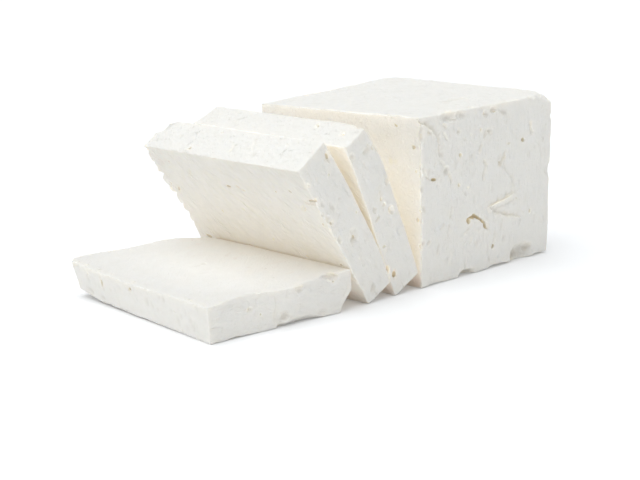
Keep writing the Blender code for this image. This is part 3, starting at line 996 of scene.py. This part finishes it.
def store_finish(fine, piece, uncut, uncut_normals, dented, chipped, seed):
    """The point attributes, and a finish for each face."""
    mesh = fine.data
    points, normals = points_and_normals(mesh)
    edges = np.empty(len(mesh.edges) * 2, dtype=np.int32)
    mesh.edges.foreach_get("vertices", edges)
    edges = edges.reshape(-1, 2)

    def store(name, values, rounds=0):
        """One number for each point, under a name that the finishes can read."""
        mesh.attributes.new(name, "FLOAT", "POINT")
        values = np.clip(around(values, edges, rounds), 0, 1)
        mesh.attributes[name].data.foreach_set("value", values.ravel())

    own = (points - np.array(piece.corner)) @ np.array(piece.axes)
    places = own[:, [piece.cut_axis, 1, 2 - piece.cut_axis]]
    mesh.attributes.new("loaf_place", "FLOAT_VECTOR", "POINT")
    mesh.attributes["loaf_place"].data.foreach_set("vector", places.ravel())
    # Depth in a pit sets the painted ochre shade of the finishes.
    in_pit = np.clip(distances(points, chipped) / PIT_DEPTH, 0, 1)
    store("hollow", in_pit[:, None], PIT_ROUNDS)
    # Depth in a dent and in a crease set the painted shade of creases.
    in_dent = (distances(points, uncut) - distances(points, dented)) / DENT_DEPTH
    below = ((around(points, edges, CREASE_ROUNDS) - points) * normals).sum(axis=1)
    crease = np.clip(below / CREASE_DEPTH, 0, 1) + np.clip(in_dent, 0, 1) ** DENT_SHADE_POWER
    store("crease", crease[:, None], 1)
    others = [solid.data for node, solid in frame["nodes"].items() if node != piece.node]
    tree = search_tree(*others)
    # Where a point all but touches another piece, the finishes paint a brown shade and dim the
    # painted glow.
    apart = distances(points, tree)[:, None] / TOUCH_REACH
    store("touch", 1 - np.clip(apart, 0, 1), 1)
    closeness = closeness_of(points, normals, edges, piece, tree, seed)
    # Closeness sets the painted glow; near the floor it turns into the painted brown shade of the
    # feet.
    lit = smooth_rise(points[:, 2:] / FOOT_DARK)
    store("closeness", closeness * lit)
    store("foot", closeness * FOOT_SHADE * (1 - lit))
    held = min(piece.size[piece.cut_axis] / THICK, 1) if piece.cut_axis == 0 else 0
    below_top = (piece.size[2] - own[:, 2:]) / RIM_REACH
    store("rim", smooth_rise(1 - below_top) * np.minimum(closeness * RIM_GROWTH, 1) * held)

    cut_normal = piece.axes.col[piece.cut_axis]
    for face in mesh.polygons:
        nearest = uncut.find_nearest(face.center)[2]
        on_cut = abs(uncut_normals[nearest].dot(cut_normal)) > CUT_SHARE
        face.material_index = CURD_SLOT if on_cut else SKIN_SLOT


# %% Dress a piece
SHARP = math.radians(50)
SEED_STEP, RELIEF_STEP = 0.1, 0.03


def finish_piece(fine, piece):
    """Smooths the shading and hands the piece to the frame."""
    select_only(fine)
    bpy.ops.object.shade_smooth_by_angle(angle=SHARP)
    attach(fine, "root")
    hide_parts(piece.node)
    triangles = sum(len(face.vertices) - 2 for face in fine.data.polygons)
    print(fine.name, "has", triangles, "triangles")


def dress(piece, voxel, reliefs, dents, scars, chips, seed):
    """Everything that one piece goes through, from the plain solid to its finish."""
    fine = fine_copy(piece, voxel)
    refine_face(fine, face_normal(piece, "near"))
    weigh_points(fine, piece)
    for index, relief in enumerate(reliefs):
        cloud_relief(fine, piece, *relief, seed=seed * SEED_STEP + index * RELIEF_STEP)
    normals = [face.normal.copy() for face in fine.data.polygons]
    uncut = search_tree(fine.data)
    press_dents(fine, piece, dents)
    dented = search_tree(fine.data)
    draw = random.Random(seed)
    cutters = new_cutters(piece.node + "_crumbs")
    for chip in chips:
        chip_edge(piece, *chip, draw, dented, cutters)
    cut_away(fine, cutters)
    chipped = search_tree(fine.data)
    cutters = new_cutters(piece.node + "_scars")
    for scar in scars:
        cut_scar(scar, piece, chipped, stones[draw.randrange(STONE_KINDS)], cutters)
    cut_away(fine, cutters)
    store_finish(fine, piece, uncut, normals, dented, chipped, seed)
    finish_piece(fine, piece)


# %% [markdown]
# ## The block
# Its near side carries the marks that the photograph shows best: a crack whose inside is painted
# a dark ochre shade, a flap of curd above it, a long thin flake, a chipped top edge, a scoop at the
# far bottom corner and single deep pits. Their places were read from the photograph, in mm from
# the block's near left bottom corner. A row is x, y, length, width, depth, turn and ledge or tilt.

# %% Mark the block
block_draw = random.Random(5)
ARC = [(-0.6, 78.9), (4.2, 77.4), (8.4, 74.9), (11.3, 71.8), (12.3, 67.4), (12.7, 62.6)]
CRESCENT = [(57.3, 53.1), (63.7, 48.6), (67.8, 43.4), (70.4, 38.9), (71.6, 35.7)]
FLAP = [(51.6, 31.4), (59.1, 32.8), (65.6, 34.0), (70.6, 35.8)]
UNDER_FLAP = [(x + 0.6, y - 2.2) for x, y in FLAP]
FLAP_EDGE = [(x, y + 0.4) for x, y in FLAP]
FLAP_FOOT = [(52.4, 30.4), (56.8, 27.8), (64.9, 25.0), (75.2, 22.9)]
CRACK = [(34.0, 27.2), (36.5, 28.6), (39.2, 29.2), (43.4, 27.0), (46.6, 24.8), (49.3, 21.4)]
block_dents = ledge_line("near", ARC, width=5.0, depth=1.7, ledge=-1)
block_dents += ledge_line("near", CRESCENT, width=7, depth=0.8, ledge=-1)
block_dents += ledge_line("near", FLAP, width=6, depth=1.3, ledge=-1)
block_dents += ledge_line("near", UNDER_FLAP, width=3.5, depth=0.5, ledge=1)
block_dents += ledge_line("near", FLAP_FOOT, width=5.5, depth=1.3, ledge=-1)
block_dents += marks(Dent, near=[
    (1.2, 73.8, 9, 4, 1.5, 85), (6.3, 73.5, 4, 2.6, 1.1, -40, 1), (19.5, 79.8, 12, 5.6, 1.4, 4),
    (29, 79.6, 8, 4.4, 1.3, -5), (24, 77.2, 5, 3, 0.8, 0, 1), (17, 75.2, 4.5, 2.8, 0.9, -30, 1),
    (17.2, 70.6, 6.5, 2.6, 1, -58, 1), (27.3, 72.2, 3.6, 2.6, 0.9, 10), (47.6, 78.6, 5, 3.5, 1),
    (54, 79.6, 7, 3.2, 1, -8), (62, 77.8, 8, 3.2, 1.1, -12), (50.6, 70, 3.4, 2.8, 0.9),
    (47.4, 68.6, 7, 2.4, 1, 55), (43.6, 62.2, 6, 2.2, 0.9, 60), (83.2, 66.9, 9, 4, 1.3, -66, 1),
    (61.2, 55.2, 11, 3.8, 1.3, 68, -1), (59.6, 51.8, 4.4, 3, 1, 20),
    (47.4, 53.6, 5.4, 2.6, 1.2, -58, 1), (46.8, 49, 8, 2.2, 1, 72), (7.4, 54, 7, 4.5, 0.9, 55, 1),
    (9.5, 51.6, 7, 3.2, 0.5), (3, 55, 9, 2.4, 0.9, -60, 1), (1, 47.5, 4, 2.2, 0.9, 85),
    (2.2, 38.6, 5, 2, 0.6, -60), (15.6, 57.6, 5, 2.8, 0.9, -55, 1), (18.7, 54.2, 5, 4, 1.2, 70),
    (21.4, 50.2, 7, 2.2, 0.8, -75, 1), (14.9, 62.1, 3.4, 2.2, 0.8), (22.2, 33.6, 8, 2.8, 1, 82, 1),
    (20.8, 24.6, 9, 2.8, 1, 84, 1), (34.4, 22.2, 6.5, 2, 0.8, 35, 1), (12.3, 17.3, 6, 2.4, 0.6, 84),
    (1.8, 21.6, 4, 2.6, 0.8, 60), (5.6, 21.3, 3.5, 2.2, 0.9, 60), (61.6, 21.2, 8, 2.4, 0.7, 78, 1),
    (55.6, 15.6, 9, 2, 0.8, 76, 1), (76.8, 3.6, 19, 12.5, 3.2, 4), (83.6, 6, 5, 4.6, 1.6, 60),
    (72.5, 3.2, 9, 7, 1.8), (34, 0.4, 13, 7, 4.6), (37, 1.4, 6, 3, 1.6, 10),
    (58, -0.2, 22, 4, 1.8, 4), (12, -0.2, 16, 3, 1.2), (92, -0.4, 12, 4, 1.6),
    (85, 83.4, 10, 5, 1, 10), (100, 44, 7, 9, 1.2), (91.7, 55.2, 12, 2.4, 0.5, -70, 1),
], top=[
    (57, 26, 26, 5, 0.9, -7, 1), (43, 13.6, 4, 2.4, 0.5),
])
block_dents += strewn_dents(BLOCK, {"near": 70, "far": 90, "right": 90, "left": 16}, block_draw)
block_dents += strewn_dents(BLOCK, {"top": 22}, block_draw, steep=20, deep=(0.1, 0.25))
block_scars = crack("near", CRACK, width=1.8, depth=2.3)
block_scars += crack("near", FLAP_EDGE, width=1.1, depth=0.35)
block_scars += marks(Scar, near=[
    (34.8, 27.4, 3, 3.6, 2, 60), (38.9, 29, 3.8, 2.8, 2, 15), (47.8, 23.2, 4.6, 2.8, 2, -52),
    (9.5, 51.1, 4.6, 1.7, 0.99, -4), (28.7, 60.5, 2.4, 2, 0.6), (77.6, 62, 2.6, 2.5, 1.3, 70),
    (66.5, 61.4, 3, 1.4, 0.5, 5), (53.8, 11.2, 3, 1.8, 1.5, 50), (60.6, 52.6, 2.4, 1.8, 0.5, 60),
    (55, 78.6, 2.6, 1.4, 0.62), (59.5, 77.6, 2, 1.1, 0.5), (47.2, 78.4, 1.6, 1.6, 0.5),
], left=[
    (4.6, 67.3, 2.4, 2, 0.81), (2.2, 33, 2.2, 2.1, 0.68, 70), (3, 56.2, 1.4, 1.3, 0.43),
])
block_scars += strewn_pits(
    BLOCK, {"near": 8, "far": 16, "right": 16, "left": 4}, block_draw, long=(1.2, 3.0),
)

# %% Dress the block
# A relief is the group it moves, its grain, turn, height and rise. A chipped edge is its two
# faces, the count of crumbs, their sizes in mm and how deep they bite.
SWELL_SHARE = 0.5
BLOCK_RELIEFS = [
    ("skin", (13, 13, 17), 0, 0.9, SWELL_SHARE),
    ("skin", (3.6, 3.6, 10), 0, 0.5, SWELL_SHARE),
    ("curd", (9, 12, 12), 0, 0.3, 0.4),
    ("curd", (3, 2.4, 5), -33, 0.16, SWELL_SHARE),
]
BLOCK_CHIPS = [
    (("near", "top"), 14, (0.6, 1.8), 0.6),
    (("near", "left"), 16, (0.5, 1.5), 0.7),
    (("near", "right"), 6, (0.8, 2.2), 0.5),
    (("right", "top"), 10, (0.6, 1.8), 0.5),
    (("far", "top"), 10, (0.6, 1.8), 0.5),
    (("far", "right"), 6, (0.8, 2.2), 0.5),
    (("far", "left"), 10, (0.6, 1.6), 0.5),
]
dress(BLOCK, 1.08 * MM, BLOCK_RELIEFS, block_dents, block_scars, BLOCK_CHIPS, seed=5)

# %% [markdown]
# ## The slices
# A slice is nearly all cut face. Its rim, as wide as the slice is thick, is the loaf's old
# skin. The outer slice shows the knife best: fine strokes that run from its far top corner to
# its near foot, and a far edge torn into teeth.

# %% Mark and dress the inner slice
inner_draw = random.Random(11)
inner_dents = marks(Dent, near=[
    (11.4, 72, 7, 4, 1.35, 25, 1), (1.4, 74.6, 4, 4, 0.9), (16.5, 71.8, 9, 3, 1.2, 85),
    (16.5, 53, 5, 3.4, 1.05, 80), (11.4, 47.6, 6.5, 3.8, 1.35, 60, 1), (14, 39, 5, 4, 1.5, 80),
    (4.3, 40.4, 4.8, 2.4, 1.05, 20, -1), (4.5, 44.8, 3.4, 2.4, 0.75), (3.6, 10, 7, 4, 1.05, 75),
], top=[
    (14, 31, 7, 2.6, 0.6, 35), (8.2, 9.8, 6, 2.6, 0.5, 60), (15.4, 5.2, 7, 4, 0.7, 20),
])
inner_dents += strewn_dents(INNER, {"near": 26, "far": 32}, inner_draw)
inner_dents += strewn_dents(INNER, {"top": 12}, inner_draw, steep=60, deep=(0.1, 0.3))
inner_scars = marks(Scar, near=[
    (3.7, 9.7, 4.4, 3, 1.9, 72), (13.6, 38.6, 2.4, 1.8, 0.56, 80), (2.7, 26, 2.6, 1.5, 0.62),
    (0.9, 14.8, 4.4, 2, 1.3, 88), (10.6, 46.6, 2, 1.4, 0.43, 60),
], top=[
    (8.4, 9.4, 2.6, 1.4, 0.5, 60), (14.2, 31.4, 3.2, 1, 0.37, 35),
])
inner_scars += strewn_pits(
    INNER, {"near": 3, "far": 5, "left": 7, "right": 7}, inner_draw, long=(1.2, 3.0),
)
SLICE_RELIEFS = [
    ("skin", (11, 11, 15), 0, 0.7, SWELL_SHARE),
    ("skin", (3.4, 3.4, 9), 0, 0.45, SWELL_SHARE),
    ("curd", (9, 12, 12), 0, 0.25, 0.45),
    ("curd", (3, 1.7, 14), -33, 0.4, SWELL_SHARE),
]
INNER_CHIPS = [
    (("near", "right"), 9, (0.6, 1.7), 0.5),
    (("far", "left"), 9, (0.6, 1.7), 0.5),
    (("far", "right"), 10, (0.6, 1.9), 0.5),
]
dress(INNER, 0.68 * MM, SLICE_RELIEFS, inner_dents, inner_scars, INNER_CHIPS, seed=11)

# %% Mark and dress the outer slice
outer_draw = random.Random(17)
STROKE = [(64.6, 59.7), (59, 56.5), (52, 49), (46.8, 43.8)]
TOP_HOOK = [(4, 50.2), (7, 50.6), (9.6, 51), (10.2, 48.8)]
TOP_LINE = [(7.4, 37.4), (12, 39.6), (17.1, 43.1)]
outer_dents = marks(Dent, near=[
    (16, 73.6, 7, 3, 1.35, 88), (10.8, 32.6, 9.5, 6.5, 1.95, 70, 1), (8.6, 32, 4, 3.4, 1.2, 20),
    (6.3, 53, 6, 3, 0.9, 82), (1.4, 50, 4, 2.6, 0.9, 80), (2.2, 46.8, 4, 2.6, 1.05, 80),
    (2.4, 57.8, 3.4, 2.4, 0.75, 80), (2.1, 37.9, 4, 2.4, 0.9, 80), (6.3, 4.4, 5, 3, 1.05, 30),
], top=[
    (4.8, 34, 5, 3, 0.5, 10), (17, 114, 16, 24, 2.6),
], far=[
    (0, 32, 46, 22, 4, 90), (0, 67, 9, 5, 2, 0, 1), (0, 60.2, 14, 5, 4.6, 0, 1),
    (0, 55.2, 12, 3.6, 3.4, 0, -1), (0, 48, 14, 5, 4.4, 0, 1), (0, 41.4, 10, 3.4, 2.6, 0, 1),
    (0, 35.6, 10, 4.4, 2.6, 0, 1), (0, 29.4, 10, 3.8, 2, 0, 1),
], left=[
    (4.6, 61.8, 10, 4.2, 0.8, -8, -1), (9.8, 56.2, 7, 2.6, 0.6, -50, 1), (58, 61, 7, 4, 0.5),
    (101, 53, 8, 4, 0.5, -57), (83, 66, 9, 2.4, 0.4, -57),
])
outer_dents += ledge_line("left", STROKE, width=3, depth=0.3, ledge=1)
outer_dents += strewn_dents(OUTER, {"near": 26, "far": 32}, outer_draw)
outer_dents += strewn_dents(OUTER, {"top": 10}, outer_draw, steep=40, deep=(0.1, 0.3))
outer_dents += strewn_dents(
    OUTER, {"left": 60}, outer_draw, steep=-57, long=(3, 9), deep=(0.08, 0.3),
)
outer_dents += ledge_line("top", TOP_HOOK, width=2.4, depth=0.5, ledge=1)
outer_dents += ledge_line("top", TOP_LINE, width=2.2, depth=0.45, ledge=1)
outer_scars = marks(Scar, top=[
    (3, 77, 2.2, 2.1, 0.56), (15.5, 65.3, 1.6, 1.4, 0.37), (13.5, 19.8, 1.6, 1.4, 0.25, 50),
], left=[
    (1.6, 61.9, 8, 2.3, 0.56, -12), (58.2, 61.2, 3.6, 1.7, 0.62), (9.6, 56, 3.4, 1, 0.43, -50),
    (47.4, 61, 2.4, 1.4, 0.37), (45.7, 31, 2.2, 1.3, 0.5, -60), (101.4, 52.6, 2.6, 1.5, 0.56, -57),
    (104.6, 56, 2, 1.1, 0.43, -57), (98.5, 22.6, 5, 2.4, 1.4), (66.9, 22.9, 2.8, 1.5, 1.1),
    (27.2, 23.9, 2.2, 1.3, 1), (5.2, 23.2, 2.2, 1.4, 1),
], near=[
    (16.2, 73.4, 3.4, 1.4, 0.56, 86), (10.4, 31.8, 2.6, 1.5, 0.5, 60),
    (2.2, 46.8, 2.2, 1.4, 0.5, 80),
])
outer_scars += strewn_pits(OUTER, {"near": 3, "far": 5, "left": 10, "right": 7}, outer_draw)
OUTER_CHIPS = [
    (("far", "left"), 26, (0.9, 2.2), 1.2),
    (("far", "right"), 10, (0.6, 1.9), 0.5),
    (("near", "left"), 12, (0.5, 1.4), 0.6),
]
dress(OUTER, 0.68 * MM, SLICE_RELIEFS, outer_dents, outer_scars, OUTER_CHIPS, seed=17)

# %% Mark and dress the flat slice
flat_draw = random.Random(23)
flat_dents = marks(Dent, near=[
    (66, 16.6, 12, 6.4, 3, -20, 1), (48.7, 15, 6, 3.6, 1.2, 0, 1), (40.5, 4.8, 9, 6, 0.9, 20),
    (37.4, 9, 16, 4, 0.8, 89, 1), (23.5, 11.2, 3.4, 2.6, 0.6), (50, -0.6, 28, 7, 2.6),
    (39.5, 0.4, 5, 6, 1.4), (15, -0.4, 13, 3, 1.4), (62.7, 2.6, 5, 3, 0.7),
], left=[
    (84, -0.4, 16, 3.6, 1.6), (50, -0.4, 12, 3, 1.2), (85.4, 11, 10, 3.4, 0.9, 88, 1),
    (60.3, 13.2, 3.4, 2.6, 0.6), (96.6, 4.8, 6, 3.4, 0.7, 20), (86.7, 3.5, 4, 3, 0.6),
], top=[
    (57.9, 62.2, 8, 3, 0.4, 30, 1), (37.3, 56.9, 8, 3, 0.35, 10, 1),
    (30.9, 45.7, 7, 3, 0.35, 0, -1),
])
flat_dents += strewn_dents(FLAT, {"near": 18, "far": 30, "left": 30, "right": 20}, flat_draw)
flat_dents += strewn_dents(
    FLAT, {"top": 34}, flat_draw, steep=10, long=(3, 12), deep=(0.08, 0.3),
)
flat_scars = marks(Scar, near=[
    (23.5, 11.2, 1.8, 1.4, 0.43),
], left=[
    (85.4, 11.4, 5, 1.3, 0.56, 88), (60.3, 13.2, 1.8, 1.6, 0.62),
])
flat_scars += strewn_pits(
    FLAT, {"near": 2, "far": 5, "left": 4, "right": 5, "top": 4}, flat_draw,
)
FLAT_RELIEFS = [
    ("skin", (13, 13, 13), 0, 0.7, SWELL_SHARE),
    ("skin", (9, 3.4, 3.4), 0, 0.4, SWELL_SHARE),
    ("curd", (14, 14, 9), 0, 0.3, 0.3),
    ("curd", (9, 2.8, 3), 0, 0.16, 0.3),
]
FLAT_CHIPS = [
    (("near", "top"), 5, (0.5, 1.5), 0.5),
    (("left", "top"), 10, (0.5, 1.7), 0.5),
    (("right", "top"), 6, (0.5, 1.5), 0.5),
    (("far", "top"), 12, (0.6, 1.9), 0.5),
    (("far", "left"), 3, (0.6, 1.9), 0.5),
]
dress(FLAT, 0.62 * MM, FLAT_RELIEFS, flat_dents, flat_scars, FLAT_CHIPS, seed=23)

# %% Put the stones away
for stone in stones:
    bpy.data.objects.remove(stone)
